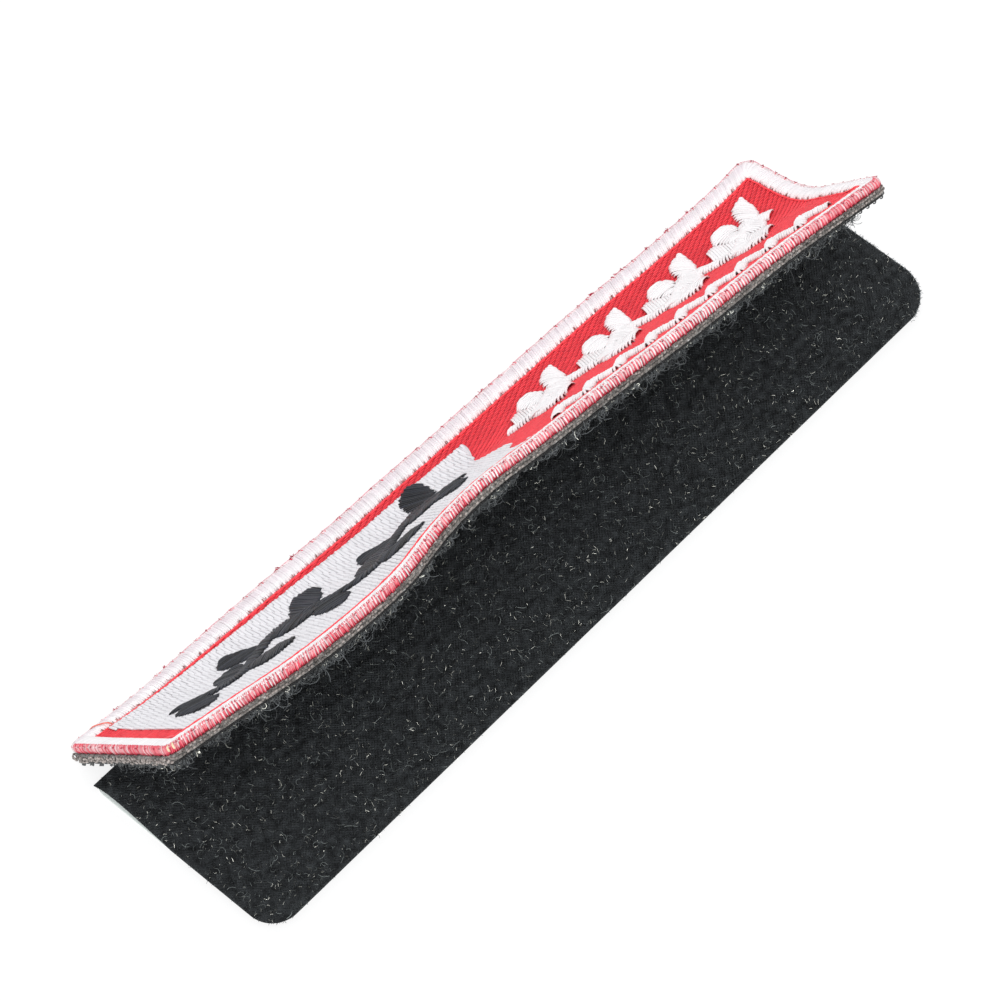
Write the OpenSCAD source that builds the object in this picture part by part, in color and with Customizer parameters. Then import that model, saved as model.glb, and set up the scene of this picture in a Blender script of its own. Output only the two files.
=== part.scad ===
// Oblong embroidered patch, half peeled off the loop-pile panel that it fastens to.
// The panel lies flat. The patch keeps hold along its far long edge, and rises from there over the
// panel in a soft bend, with a ripple in its near edge.
// Frame: X along the panel, +Y to the far long edge, +Z up, origin at the centre of the panel's underside.

/* [Loop panel] */
// Length of the loop-pile panel
panel_len = 130; // [128:1:140]
// Width of the loop-pile panel
panel_w = 31.5; // [31:0.5:34]
// Height of the panel's cloth and pile together
pile_h = 2.0; // [1.6:0.1:2]
// Corner radius at the near left
near_left_r = 4; // [1:0.5:8]
// Corner radius at the near right
near_right_r = 5; // [1:0.5:8]
// Corner radius of the two far corners, which are cut nearly square
far_r = 0.6; // [0.4:0.1:2]

/* [Panel film] */
// Thickness of the white release film under the panel
film_h = 0.3; // [0.2:0.05:0.3]
// How far the film stands out past the panel's left end
film_reach = 0.4; // [0:0.1:1]

/* [Patch] */
// Length of the patch along its long edges
patch_len = 125; // [120:1:127]
// Width of the patch, measured along its curved face
patch_w = 30.5; // [29:0.5:32]
// Width of the stitched border
border_w = 2.3; // [2:0.1:3]
// Height of the stitched border from its crown to its foot
border_h = 1.75; // [1.6:0.05:1.8]
// Corner radius of the patch's left end
left_r = 1.2; // [0.8:0.1:2]
// Corner radius of the patch's right end
right_r = 2.2; // [1:0.1:2.3]

/* [Layers] */
// Depth of the twill's face below the border's crown
twill_depth = 0.7; // [0.5:0.05:0.8]
// Thickness of the twill ground
twill_t = 0.8; // [0.6:0.1:0.9]
// Thickness of the white fill stitching
fill_t = 0.35; // [0.3:0.05:0.4]
// Height of the black branch above the white fill
branch_t = 0.3; // [0.2:0.05:0.4]
// Height of the white motifs above the twill
motif_t = 0.55; // [0.3:0.05:0.6]
// Thickness of the grey backing layer
backing_t = 0.65; // [0.5:0.05:0.7]
// Thickness of the hook tape's base
tape_t = 0.5; // [0.4:0.05:0.6]
// Gap between one layer and the next
layer_gap = 0.05; // [0.02:0.01:0.08]
// Gap under the fill and the motifs
stitch_gap = 0.1; // [0.08:0.01:0.12]

/* [Motifs] */
// Leaves on the black branch
branch_leaves = 13; // [5:1:15]
// Flowers on the white garland
garland_flowers = 4; // [2:1:4]
// Petals on each flower
flower_petals = 5; // [4:1:6]
// Points of the white zigzag
zigzag_points = 19; // [7:2:21]

/* [Hidden] */

// How the peeled patch stands, one row a section from its left end to its right end
// share of the length, shift of the far edge toward the near side, height of the far edge,
// tilt at the far edge, tilt at the near edge, flat strip before the bend
SECTIONS = [
    [0.00, 0.0, 2.5, 51, 50, 3.0],
    [0.08, 0.6, 2.8, 38, 52, 3.0],
    [0.16, 0.9, 3.7, 26, 52, 3.0],
    [0.24, 1.2, 4.6, 19, 52.5, 3.0],
    [0.30, 1.4, 4.9, 17, 54, 3.0],
    [0.36, 1.5, 5.0, 16, 58, 3.0],
    [0.42, 1.4, 5.2, 16, 59, 3.0],
    [0.50, 1.3, 5.2, 16, 57.5, 3.0],
    [0.60, 1.1, 5.3, 16, 55.5, 3.0],
    [0.72, 0.9, 5.5, 16, 54, 4.0],
    [0.84, 1.0, 5.5, 16, 54.5, 5.0],
    [0.94, 0.7, 5.5, 16, 52.5, 6.0],
    [1.00, 0.0, 5.5, 16, 51, 7.5]
];
SHIFT = 1;
LIFT = 2;
FAR_TILT = 3;
NEAR_TILT = 4;
STRIP = 5;

// Width of the bend between the flat far strip and the steep near part
bend_w = 8;
// Place of the patch's far left corner, and its turn seen from above
patch_x = -62.2;
patch_y = panel_w / 2 + 6.2;
patch_yaw = -2.37;

// Levels along the patch's normal, counted from the border's crown
border_foot = -border_h;
twill_top = -twill_depth;
twill_foot = twill_top - twill_t;
fill_foot = twill_top + stitch_gap;
fill_top = fill_foot + fill_t;
branch_foot = fill_top + stitch_gap;
branch_top = branch_foot + branch_t;
motif_top = fill_foot + motif_t;
backing_top = border_foot - layer_gap;
backing_foot = backing_top - backing_t;
tape_top = backing_foot - layer_gap;
tape_foot = tape_top - tape_t;

// Setbacks from the patch's outline
ground_in = border_w + 2 * layer_gap;
backing_in = 0.3;
tape_in = 0.2;

// White field: setbacks from the border, how fast its far edge draws away from the border, and its
// wavy right edge
field_left = border_w + 2.4;
field_far = border_w + 0.6;
field_slant = 0.022;
field_near = border_w + 0.45;
field_end = 0.51 * patch_len;
field_wave = 1.1;

// Border's cross-section from the outer foot over the crown to the inner foot
// share of the border's width, share of its height
BORDER_PROFILE = [
    [0.07, 0.00],
    [0.00, 0.28],
    [0.00, 0.66],
    [0.12, 0.90],
    [0.40, 1.00],
    [0.76, 0.93],
    [0.97, 0.72],
    [1.00, 0.00]
];

// Cells of the grids
along_cells = 30;
across_cells = 12;
field_along = 16;
corner_cells = 4;

// Rows across the patch that all its layers share, so that their facets lie alike
function shared_row(k) = patch_w * k / across_cells;
function rows_between(a, b) =
    [for (k = [2:across_cells - 2]) if (shared_row(k) > a && shared_row(k) < b) shared_row(k)];

// Smooth value of one column of SECTIONS at a share of the length
function slope_at(i, col) =
    let (a = max(i - 1, 0), b = min(i + 1, len(SECTIONS) - 1))
    (SECTIONS[b][col] - SECTIONS[a][col]) / (SECTIONS[b][0] - SECTIONS[a][0]);
function row_before(f) = max([for (i = [0:len(SECTIONS) - 2]) if (f >= SECTIONS[i][0] || i == 0) i]);
function blend(t, a, b, ma, mb) =
    let (rest = 1 - t)
    (a * (1 + 2 * t) + ma * t) * rest * rest + (b * (3 - 2 * t) - mb * rest) * t * t;
function section(f, col) =
    let (
        i = row_before(f),
        step = SECTIONS[i + 1][0] - SECTIONS[i][0],
        t = (f - SECTIONS[i][0]) / step
    )
    blend(t, SECTIONS[i][col], SECTIONS[i + 1][col], step * slope_at(i, col), step * slope_at(i + 1, col));

// Chord of an arc of length s that turns from tilt a by turn degrees
function chord_share(turn) = abs(turn) < 0.1 ? 1 : sin(turn / 2) / (turn / 2 * PI / 180);
function arc_step(s, a, turn) = s * chord_share(turn) * [cos(a + turn / 2), sin(a + turn / 2)];

// Reach toward the near side and rise at arc distance v from the far edge, then the tilt there
function profile(v, f) =
    let (
        far = section(f, FAR_TILT),
        near = section(f, NEAR_TILT),
        strip = section(f, STRIP),
        flat = min(v, strip),
        bent = min(max(v - strip, 0), bend_w),
        steep = max(v - strip - bend_w, 0),
        turn = (near - far) * bent / bend_w,
        place = flat * [cos(far), sin(far)] + arc_step(bent, far, turn) + steep * [cos(near), sin(near)]
    )
    [place[0], place[1], far + turn];

// Point of the patch: u along it, v across it from the far edge, n along the face's normal
function face_point(u, v, n) =
    let (
        f = min(max(u / patch_len, 0), 1),
        p = profile(v, f)
    )
    [
        u,
        -(section(f, SHIFT) + p[0] - n * sin(p[2])),
        section(f, LIFT) + p[1] + n * cos(p[2])
    ];

module on_patch() {
    translate([patch_x, patch_y, 0])
        rotate([0, 0, patch_yaw])
            children();
}

// Faces of a closed slab made of a top grid and a bottom grid with (cols + 1) x (rows + 1) points each
function grid_faces(cols, rows) =
    let (
        w = cols + 1,
        low = w * (rows + 1),
        top = [for (j = [0:rows - 1], i = [0:cols - 1])
            each let (a = j * w + i) [[a, a + 1, a + w + 1], [a, a + w + 1, a + w]]],
        bottom = [for (j = [0:rows - 1], i = [0:cols - 1])
            each let (a = low + j * w + i) [[a, a + w + 1, a + 1], [a, a + w, a + w + 1]]],
        ends = [for (j = [0:rows - 1])
            each let (a = j * w, b = j * w + cols)
            [[a, a + w, a + w + low], [a, a + w + low, a + low],
             [b, b + low, b + w + low], [b, b + w + low, b + w]]],
        sides = [for (i = [0:cols - 1])
            each let (a = i, b = rows * w + i)
            [[a, a + low, a + 1 + low], [a, a + 1 + low, a + 1],
             [b, b + 1, b + 1 + low], [b, b + 1 + low, b + low]]]
    )
    concat(top, bottom, ends, sides);

// How far a corner of radius r draws the outline in at distance d from the edge
function corner_in(d, r) = d >= r ? 0 : r - sqrt(max(r * r - (r - d) * (r - d), 0));

// Layer of the patch with rounded corners, from level low to level high
module layer(inset, low, high, r_left, r_right) {
    far = inset;
    near = patch_w - inset;
    rows = concat(
        [far, far + 0.15 * r_right, far + 0.6 * r_right],
        rows_between(far, near),
        [near - 0.6 * r_right, near - 0.15 * r_right, near]
    );
    function drawn_in(v, r) = corner_in(v - far, r) + corner_in(near - v, r);
    points = [for (n = [high, low], v = rows, i = [0:along_cells])
        let (a = inset + drawn_in(v, r_left), b = patch_len - inset - drawn_in(v, r_right))
        face_point(a + (b - a) * i / along_cells, v, n)];
    on_patch()
        polyhedron(points, grid_faces(along_cells, len(rows) - 1));
}

// Points between the ends of a long side, and points of a round corner
function long_side(a, b) = [for (i = [1:along_cells - 1]) a + (b - a) * i / along_cells];
function loop_corner(centre, r, start) =
    [for (i = [0:corner_cells])
        let (angle = start + 90 * i / corner_cells)
        centre + r * [cos(angle), sin(angle)]];

// Closed loop of the patch's outline, set in by inset, with a radius for each end
function outline(inset, r_left, r_right) =
    let (
        rows = rows_between(0, patch_w),
        x0 = inset + r_left,
        x1 = patch_len - inset - r_right,
        far_left = loop_corner([x0, inset + r_left], r_left, 180),
        far_right = loop_corner([x1, inset + r_right], r_right, 270),
        near_right = loop_corner([x1, patch_w - inset - r_right], r_right, 0),
        near_left = loop_corner([x0, patch_w - inset - r_left], r_left, 90),
        last = corner_cells
    )
    concat(
        far_left, long_side(far_left[last], far_right[0]),
        far_right, [for (v = rows) [patch_len - inset, v]],
        near_right, long_side(near_right[last], near_left[0]),
        near_left, [for (k = [len(rows) - 1:-1:0]) [inset, rows[k]]]
    );

// Closed ring through sections that each have the same number of points
module closed_ring(rings) {
    steps = len(rings);
    sides = len(rings[0]);
    points = [for (ring = rings) each ring];
    faces = [for (i = [0:steps - 1], k = [0:sides - 1])
        each let (
            a = i * sides + k,
            b = i * sides + (k + 1) % sides,
            c = ((i + 1) % steps) * sides + (k + 1) % sides,
            d = ((i + 1) % steps) * sides + k
        )
        [[a, c, b], [a, d, c]]];
    polyhedron(points, faces);
}

// Direction of a path at its point i
function unit(p) = p / norm(p);
function heading(path, i) = unit(path[min(i + 1, len(path) - 1)] - path[max(i - 1, 0)]);

// Ribbon that lies on the patch along path, with a half width for each of its points
module ribbon(path, half, low, high) {
    count = len(path);
    points = [for (n = [high, low], side = [1, -1], i = [0:count - 1])
        let (h = heading(path, i), p = path[i] + side * half[i] * [h[1], -h[0]])
        face_point(p[0], p[1], n)];
    on_patch()
        polyhedron(points, grid_faces(count - 1, 1));
}

// Leaf or petal from base in a direction, widest at its middle
leaf_cells = 4;
module leaf(base, angle, length, width, low, high) {
    path = [for (i = [0:leaf_cells]) base + length * i / leaf_cells * [cos(angle), sin(angle)]];
    half = [for (i = [0:leaf_cells]) width / 2 * (0.12 + 0.88 * sin(180 * i / leaf_cells))];
    ribbon(path, half, low, high);
}

// Flower with an open eye, whose outline swells at each petal
petal_steps = 3;
flower_turn = 20;
module flower(centre, low, high) {
    steps = flower_petals * petal_steps;
    rings = [for (i = [0:steps - 1])
        let (
            a = -360 * i / steps,
            ray = [cos(a + flower_turn), sin(a + flower_turn)],
            reach = flower_r * (0.62 + 0.38 * abs(sin(flower_petals * a / 2))),
            eye = centre + flower_eye_r * ray,
            middle = centre + 0.5 * reach * ray,
            tip = centre + reach * ray
        )
        [
            face_point(eye[0], eye[1], low),
            face_point(eye[0], eye[1], high),
            face_point(middle[0], middle[1], high),
            face_point(tip[0], tip[1], high),
            face_point(tip[0], tip[1], low)
        ]];
    on_patch()
        closed_ring(rings);
}

// Middle line of the black branch, and its leaves
branch_from = 9;
branch_to = field_end - 6;
branch_mid = 0.46 * patch_w;
branch_swing = 4;
branch_half = 0.95;
leaf_len = 7.4;
leaf_w = 4.8;
leaf_angle = 58;
// Small step between a stem and what grows from it
stem_step = 0.06;
function branch_line(t) =
    [branch_from + (branch_to - branch_from) * t, branch_mid + branch_swing * sin(720 * t)];

// Middle line of the white garland with its flowers and leaves, and of the zigzag
garland_from = field_end + 5;
garland_to = patch_len - border_w - 4;
garland_mid = 0.34 * patch_w;
garland_swing = 1.6;
garland_half = 0.85;
sprig_len = 5.5;
sprig_w = 3.4;
flower_r = 5;
flower_eye_r = 0.8;
zigzag_mid = 0.76 * patch_w;
zigzag_rise = 2;
zigzag_half = 1.4;
function garland_line(t) =
    [garland_from + (garland_to - garland_from) * t,
     garland_mid + garland_swing * sin(360 * garland_flowers * t)];

// Direction in degrees in which leaf k leaves a stem that runs from point a to point b: leaves take turns
function leaf_heading(a, b, k) =
    atan2(b[1] - a[1], b[0] - a[0]) + (k % 2 == 0 ? leaf_angle : -leaf_angle);

module loop_panel() {
    color([0.08, 0.09, 0.10])
        translate([0, 0, film_h + layer_gap])
            linear_extrude(pile_h)
                panel_outline();
}

module panel_film() {
    color([0.90, 0.94, 0.92])
        linear_extrude(film_h)
            union() {
                panel_outline();
                translate([-film_reach, 0])
                    intersection() {
                        panel_outline();
                        translate([-panel_len / 2, -panel_w / 6])
                            square([panel_len / 2, 2 * panel_w / 3]);
                    }
            }
}

module panel_outline() {
    x = panel_len / 2;
    y = panel_w / 2;
    far_x = x - far_r;
    far_y = y - far_r;
    union() {
        translate([-x + near_left_r, -y])
            square([panel_len - near_left_r - near_right_r, panel_w]);
        translate([-x, -y + near_left_r])
            square([near_left_r, panel_w - near_left_r - far_r]);
        translate([x - near_right_r, -y + near_right_r])
            square([near_right_r, panel_w - near_right_r - far_r]);
        translate([-x + near_left_r, -y + near_left_r])
            circle(near_left_r, $fn = 64);
        translate([x - near_right_r, -y + near_right_r])
            circle(near_right_r, $fn = 64);
        translate([-far_x, far_y])
            circle(far_r, $fn = 32);
        translate([far_x, far_y])
            circle(far_r, $fn = 32);
        translate([-far_x, far_y])
            square([panel_len - 2 * far_r, far_r]);
    }
}

module hook_tape() {
    color([0.12, 0.12, 0.13])
        layer(tape_in, tape_foot, tape_top, left_r, right_r);
}

module backing_layer() {
    color([0.55, 0.54, 0.53])
        layer(backing_in, backing_foot, backing_top, left_r, right_r);
}

module twill_ground() {
    color([0.86, 0.16, 0.20])
        layer(ground_in, twill_foot, twill_top, 0.3, 0.3);
}

module stitched_border() {
    outer = outline(0, left_r, right_r);
    inner = outline(border_w, 0.3, 0.3);
    rings = [for (i = [0:len(outer) - 1])
        [for (row = BORDER_PROFILE)
            let (p = outer[i] * (1 - row[0]) + inner[i] * row[0])
            face_point(p[0], p[1], border_foot + border_h * row[1])]];
    color([0.95, 0.93, 0.93])
        on_patch()
            closed_ring(rings);
}

module white_field() {
    near = patch_w - field_near;
    rows = concat([field_far], rows_between(field_far, near), [near]);
    furthest = shared_row(2) - 0.3;
    function field_edge(v) = field_end + field_wave * sin(360 * 2.5 * v / patch_w);
    function drawn_away(u, v) =
        v > field_far ? v : min(field_far + field_slant * (u - field_left), furthest);
    points = [for (n = [fill_top, fill_foot], v = rows, i = [0:field_along])
        let (u = field_left + (field_edge(v) - field_left) * i / field_along)
        face_point(u, drawn_away(u, v), n)];
    color([0.93, 0.92, 0.95])
        on_patch()
            polyhedron(points, grid_faces(field_along, len(rows) - 1));
}

module black_branch() {
    stem_cells = 24;
    stem = [for (i = [0:stem_cells]) branch_line(i / stem_cells)];
    half = [for (i = [0:stem_cells]) branch_half];
    color([0.16, 0.17, 0.20])
        union() {
            ribbon(stem, half, branch_foot, branch_top);
            for (k = [0:branch_leaves - 1]) {
                t = (k + 0.4) / branch_leaves;
                base = branch_line(t);
                leaf(base, leaf_heading(base, branch_line(t + 0.01), k), leaf_len, leaf_w,
                    branch_foot + stem_step / 2, branch_top - stem_step);
            }
        }
}

module white_garland() {
    stem_cells = 6 * garland_flowers;
    stem = [for (i = [0:stem_cells]) garland_line(i / stem_cells)];
    half = [for (i = [0:stem_cells]) garland_half];
    color([0.96, 0.95, 0.96])
        union() {
            ribbon(stem, half, fill_foot + stem_step / 2, motif_top - stem_step);
            for (k = [0:garland_flowers - 1])
                flower(garland_line((k + 0.5) / garland_flowers), fill_foot, motif_top);
            for (k = [0:2 * garland_flowers - 1]) {
                t = (k + 0.5) / (2 * garland_flowers);
                base = garland_line(t);
                leaf(base, leaf_heading(base, garland_line(t + 0.01), k), sprig_len, sprig_w,
                    fill_foot + stem_step, motif_top - stem_step / 2);
            }
        }
}

module white_zigzag() {
    last = zigzag_points - 1;
    path = [for (i = [0:last])
        let (side = i % 2 == 0 ? 1 : -1)
        [garland_from + (garland_to - garland_from) * i / last, zigzag_mid + side * zigzag_rise]];
    half = [for (i = [0:last]) zigzag_half];
    color([0.96, 0.95, 0.96])
        ribbon(path, half, fill_foot, motif_top);
}

loop_panel();
panel_film();
hook_tape();
backing_layer();
twill_ground();
stitched_border();
white_field();
black_branch();
white_garland();
white_zigzag();
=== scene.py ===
import math

import bpy
import numpy as np
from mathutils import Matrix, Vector


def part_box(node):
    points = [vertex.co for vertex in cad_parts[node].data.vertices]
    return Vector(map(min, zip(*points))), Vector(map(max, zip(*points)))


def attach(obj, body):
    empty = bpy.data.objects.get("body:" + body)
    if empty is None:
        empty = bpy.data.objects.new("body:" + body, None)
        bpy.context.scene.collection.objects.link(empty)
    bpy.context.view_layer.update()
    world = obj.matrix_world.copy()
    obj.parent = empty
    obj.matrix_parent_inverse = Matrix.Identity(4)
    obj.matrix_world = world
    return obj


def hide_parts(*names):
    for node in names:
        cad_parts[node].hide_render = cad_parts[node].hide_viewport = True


# Embroidered patch, half peeled off its loop panel: cloth, stitches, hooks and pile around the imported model.
# Lengths are in millimetres until a mesh is made, and meshes are in metres.
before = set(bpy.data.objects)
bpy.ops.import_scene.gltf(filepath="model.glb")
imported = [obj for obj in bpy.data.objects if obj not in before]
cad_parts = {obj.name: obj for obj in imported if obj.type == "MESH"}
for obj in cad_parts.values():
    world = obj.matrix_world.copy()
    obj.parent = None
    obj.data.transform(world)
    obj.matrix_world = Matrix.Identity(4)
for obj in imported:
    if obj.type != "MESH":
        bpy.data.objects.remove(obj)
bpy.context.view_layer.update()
MM = 0.001

# Patch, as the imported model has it
PATCH_LEN = 125.0
PATCH_W = 30.5
BORDER_W = 2.3
LEFT_R = 1.2
RIGHT_R = 2.2
INNER_R = 0.3
BEND_W = 8.0
PATCH_X = -62.2
PATCH_Y = 21.95
PATCH_YAW = math.radians(-2.37)

# Sections of the peeled patch: share of its length, shift of the far edge toward the near side, height of
# the far edge, tilt at the far edge, tilt at the near edge, flat strip before the bend
SECTIONS = np.array([
    [0.00, 0.0, 2.5, 51, 50, 3.0],
    [0.08, 0.6, 2.8, 38, 52, 3.0],
    [0.16, 0.9, 3.7, 26, 52, 3.0],
    [0.24, 1.2, 4.6, 19, 52.5, 3.0],
    [0.30, 1.4, 4.9, 17, 54, 3.0],
    [0.36, 1.5, 5.0, 16, 58, 3.0],
    [0.42, 1.4, 5.2, 16, 59, 3.0],
    [0.50, 1.3, 5.2, 16, 57.5, 3.0],
    [0.60, 1.1, 5.3, 16, 55.5, 3.0],
    [0.72, 0.9, 5.5, 16, 54, 4.0],
    [0.84, 1.0, 5.5, 16, 54.5, 5.0],
    [0.94, 0.7, 5.5, 16, 52.5, 6.0],
    [1.00, 0.0, 5.5, 16, 51, 7.5],
])
SHARE, SHIFT, LIFT, FAR_TILT, NEAR_TILT, STRIP = range(6)

# Levels along the patch's normal, from the border's crown: the stack of layers is a little thinner than the
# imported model's, as it looks in the photo
TWILL_TOP = -0.70
TWILL_FOOT = -1.34
STITCH_TOP = -0.42
MOTIF_TOP = -0.15
BORDER_FOOT = -1.40
BACKING_TOP = -1.42
BACKING_FOOT = -2.30
TAPE_TOP = -2.32
TAPE_FOOT = -2.60

# Left end of the patch: how far its backing stands out, and how far the end is stretched over which length
LEFT_OUT = 0.5
LEFT_STRETCH = 0.7
STRETCHED_LEN = 15.0

# White field and motifs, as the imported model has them
FIELD_LEFT = BORDER_W + 2.4
FIELD_FAR = BORDER_W + 0.6
FIELD_NEAR = PATCH_W - BORDER_W - 0.45
FIELD_END = 0.51 * PATCH_LEN
FIELD_WAVE = 1.1
FIELD_SLANT = 0.022
BRANCH_FROM = 9.0
BRANCH_TO = FIELD_END - 6
BRANCH_MID = 0.46 * PATCH_W
BRANCH_SWING = 4.0
BRANCH_HALF = 0.95
BRANCH_LEAVES = 13
LEAF_LEN = 7.4
LEAF_W = 4.8
LEAF_ANGLE = math.radians(58)
GARLAND_FROM = FIELD_END + 5
GARLAND_TO = PATCH_LEN - BORDER_W - 4
GARLAND_MID = 0.34 * PATCH_W
GARLAND_SWING = 1.6
GARLAND_HALF = 0.85
SPRIG_LEN = 5.5
SPRIG_W = 3.4
FLOWERS = 4
PETALS = 5
FLOWER_R = 5.0
FLOWER_EYE_R = 0.8
FLOWER_TURN = math.radians(20)
ZIGZAG_POINTS = 19
ZIGZAG_MID = 0.76 * PATCH_W
ZIGZAG_RISE = 2.0

# Cross-sections of threads and fibres: pairs (across, up) in half widths and half heights
LYING = np.array([[1.0, -0.3], [0.62, 0.7], [0.0, 1.0], [-0.62, 0.7], [-1.0, -0.3]])
SQUAT = np.array([[1.0, -0.4], [0.45, 0.9], [-0.45, 0.9], [-1.0, -0.4]])
THREE_SIDED = np.array([[0.0, 1.0], [-0.87, -0.5], [0.87, -0.5]])


def section(share, column):
    """One column of SECTIONS at shares of the length: a cubic through the rows, whose slope at a row is that
    of the chord between its two neighbours."""
    rows, values = SECTIONS[:, SHARE], SECTIONS[:, column]
    place = np.arange(len(rows))
    before, after = np.maximum(place - 1, 0), np.minimum(place + 1, len(rows) - 1)
    slopes = (values[after] - values[before]) / (rows[after] - rows[before])
    i = np.clip(np.searchsorted(rows, share, side="right") - 1, 0, len(rows) - 2)
    step = rows[i + 1] - rows[i]
    t = (share - rows[i]) / step
    rest = 1 - t
    start = values[i] * (1 + 2 * t) + slopes[i] * step * t
    end = values[i + 1] * (3 - 2 * t) - slopes[i + 1] * step * rest
    return start * rest ** 2 + end * t ** 2


def face_point(u, v, n):
    """Points of the patch from u along it, v across it from the far edge and n along its normal: a straight
    strip at the far tilt, an arc of length BEND_W, and a straight part at the near tilt. The left end is
    stretched a little, more and more toward the edge."""
    u, v, n = np.broadcast_arrays(np.asarray(u, float), np.asarray(v, float), np.asarray(n, float))
    share = np.clip(u / PATCH_LEN, 0, 1)
    u = u - LEFT_STRETCH * np.clip(1 - u / STRETCHED_LEN, 0, 1)
    far, near = np.radians(section(share, FAR_TILT)), np.radians(section(share, NEAR_TILT))
    strip = section(share, STRIP)
    flat = np.minimum(v, strip)
    bent = np.clip(v - strip, 0, BEND_W)
    steep = np.maximum(v - strip - BEND_W, 0)
    turn = (near - far) * bent / BEND_W
    chord = bent * np.sinc(turn / 2 / np.pi)
    reach = flat * np.cos(far) + chord * np.cos(far + turn / 2) + steep * np.cos(near)
    rise = flat * np.sin(far) + chord * np.sin(far + turn / 2) + steep * np.sin(near)
    tilt = far + turn
    y = n * np.sin(tilt) - section(share, SHIFT) - reach
    z = section(share, LIFT) + rise + n * np.cos(tilt)
    return np.stack([
        PATCH_X + u * math.cos(PATCH_YAW) - y * math.sin(PATCH_YAW),
        PATCH_Y + u * math.sin(PATCH_YAW) + y * math.cos(PATCH_YAW),
        z,
    ], -1)


def face_normal(u, v):
    """Unit normals of the patch's face."""
    return face_point(u, v, 1.0) - face_point(u, v, 0.0)


def unit(vectors):
    """The vectors at length 1."""
    return vectors / np.maximum(np.linalg.norm(vectors, axis=-1, keepdims=True), 1e-9)


def ripples(x, y, pitch, seed, waves=24):
    """Smooth random field between about -1 and 1: the mean of cosine waves in random directions, whose
    lengths lie round pitch."""
    random = np.random.default_rng(seed)
    heading = random.uniform(0, 2 * np.pi, waves)
    pace = 2 * np.pi / (pitch * random.uniform(0.7, 1.5, waves))
    phase = random.uniform(0, 2 * np.pi, waves)
    total = np.zeros(np.broadcast(x, y).shape)
    for k in range(waves):
        total += np.cos(pace[k] * (x * math.cos(heading[k]) + y * math.sin(heading[k])) + phase[k])
    return total * math.sqrt(2 / waves) / 1.6


# Meshes and pieces

def new_piece(name, points, faces, finish, slot, **values):
    """Object at the origin from an (n, 3) array in millimetres and face arrays of one width each; values are
    one number a point, kept as attributes."""
    mesh = bpy.data.meshes.new(name)
    sizes = np.concatenate([np.full(len(f), f.shape[1]) for f in faces])
    corners = np.concatenate([f.ravel() for f in faces])
    mesh.vertices.add(len(points))
    mesh.vertices.foreach_set("co", (points * MM).astype(np.float32).ravel())
    mesh.loops.add(len(corners))
    mesh.loops.foreach_set("vertex_index", corners.astype(np.int32))
    mesh.polygons.add(len(sizes))
    mesh.polygons.foreach_set("loop_start", (np.cumsum(sizes) - sizes).astype(np.int32))
    mesh.update(calc_edges=True)
    mesh.shade_smooth()
    for label, numbers in values.items():
        layer = mesh.attributes.new(label, "FLOAT", "POINT")
        layer.data.foreach_set("value", np.asarray(numbers, np.float32))
    mesh.materials.append(finish)
    piece = bpy.data.objects.new(name, mesh)
    bpy.context.scene.collection.objects.link(piece)
    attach(piece, "root")
    return piece


def grid_quads(rows, columns, first=0):
    """Quads of a grid of rows x columns points, numbered row by row from first."""
    corner = first + (np.arange(rows - 1)[:, None] * columns + np.arange(columns - 1)).ravel()
    return np.stack([corner, corner + columns, corner + columns + 1, corner + 1], -1)


def rim_loop(rows, columns):
    """Numbers of the points round the edge of a grid, once round."""
    top, bottom = np.arange(columns), (rows - 1) * columns + np.arange(columns)
    right, left = np.arange(1, rows - 1) * columns + columns - 1, np.arange(1, rows - 1) * columns
    return np.concatenate([top, right, bottom[::-1], left[::-1]])


def facing_out(points, faces):
    """The faces, turned round if the closed mesh they make has a negative volume."""
    volume = 0.0
    for f in faces:
        for k in range(1, f.shape[1] - 1):
            a, b, c = points[f[:, 0]], points[f[:, k]], points[f[:, k + 1]]
            volume += (a * np.cross(b, c)).sum()
    return faces if volume > 0 else [f[:, ::-1] for f in faces]


def slab(upper, lower):
    """Closed slab between two grids of points of the same shape: both faces and a rim of quads."""
    rows, columns = upper.shape[:2]
    count = rows * columns
    rim = rim_loop(rows, columns)
    after = np.roll(rim, -1)
    points = np.concatenate([upper.reshape(-1, 3), lower.reshape(-1, 3)])
    top = grid_quads(rows, columns)
    faces = [top, (top + count)[:, ::-1], np.stack([rim, after, after + count, rim + count], -1)]
    return points, facing_out(points, faces)


def plate(upper, foot):
    """Closed plate under a grid of points: the grid, a wall from its rim down to the foot, which has one
    point for each of the rim's, and one flat face."""
    rows, columns = upper.shape[:2]
    count = rows * columns
    rim = rim_loop(rows, columns)
    low = count + np.arange(len(rim))
    wall = np.stack([rim, np.roll(rim, -1), np.roll(low, -1), low], -1)
    points = np.concatenate([upper.reshape(-1, 3), foot.reshape(-1, 3)[rim]])
    return points, facing_out(points, [grid_quads(rows, columns), wall, low[None, ::-1]])


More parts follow.
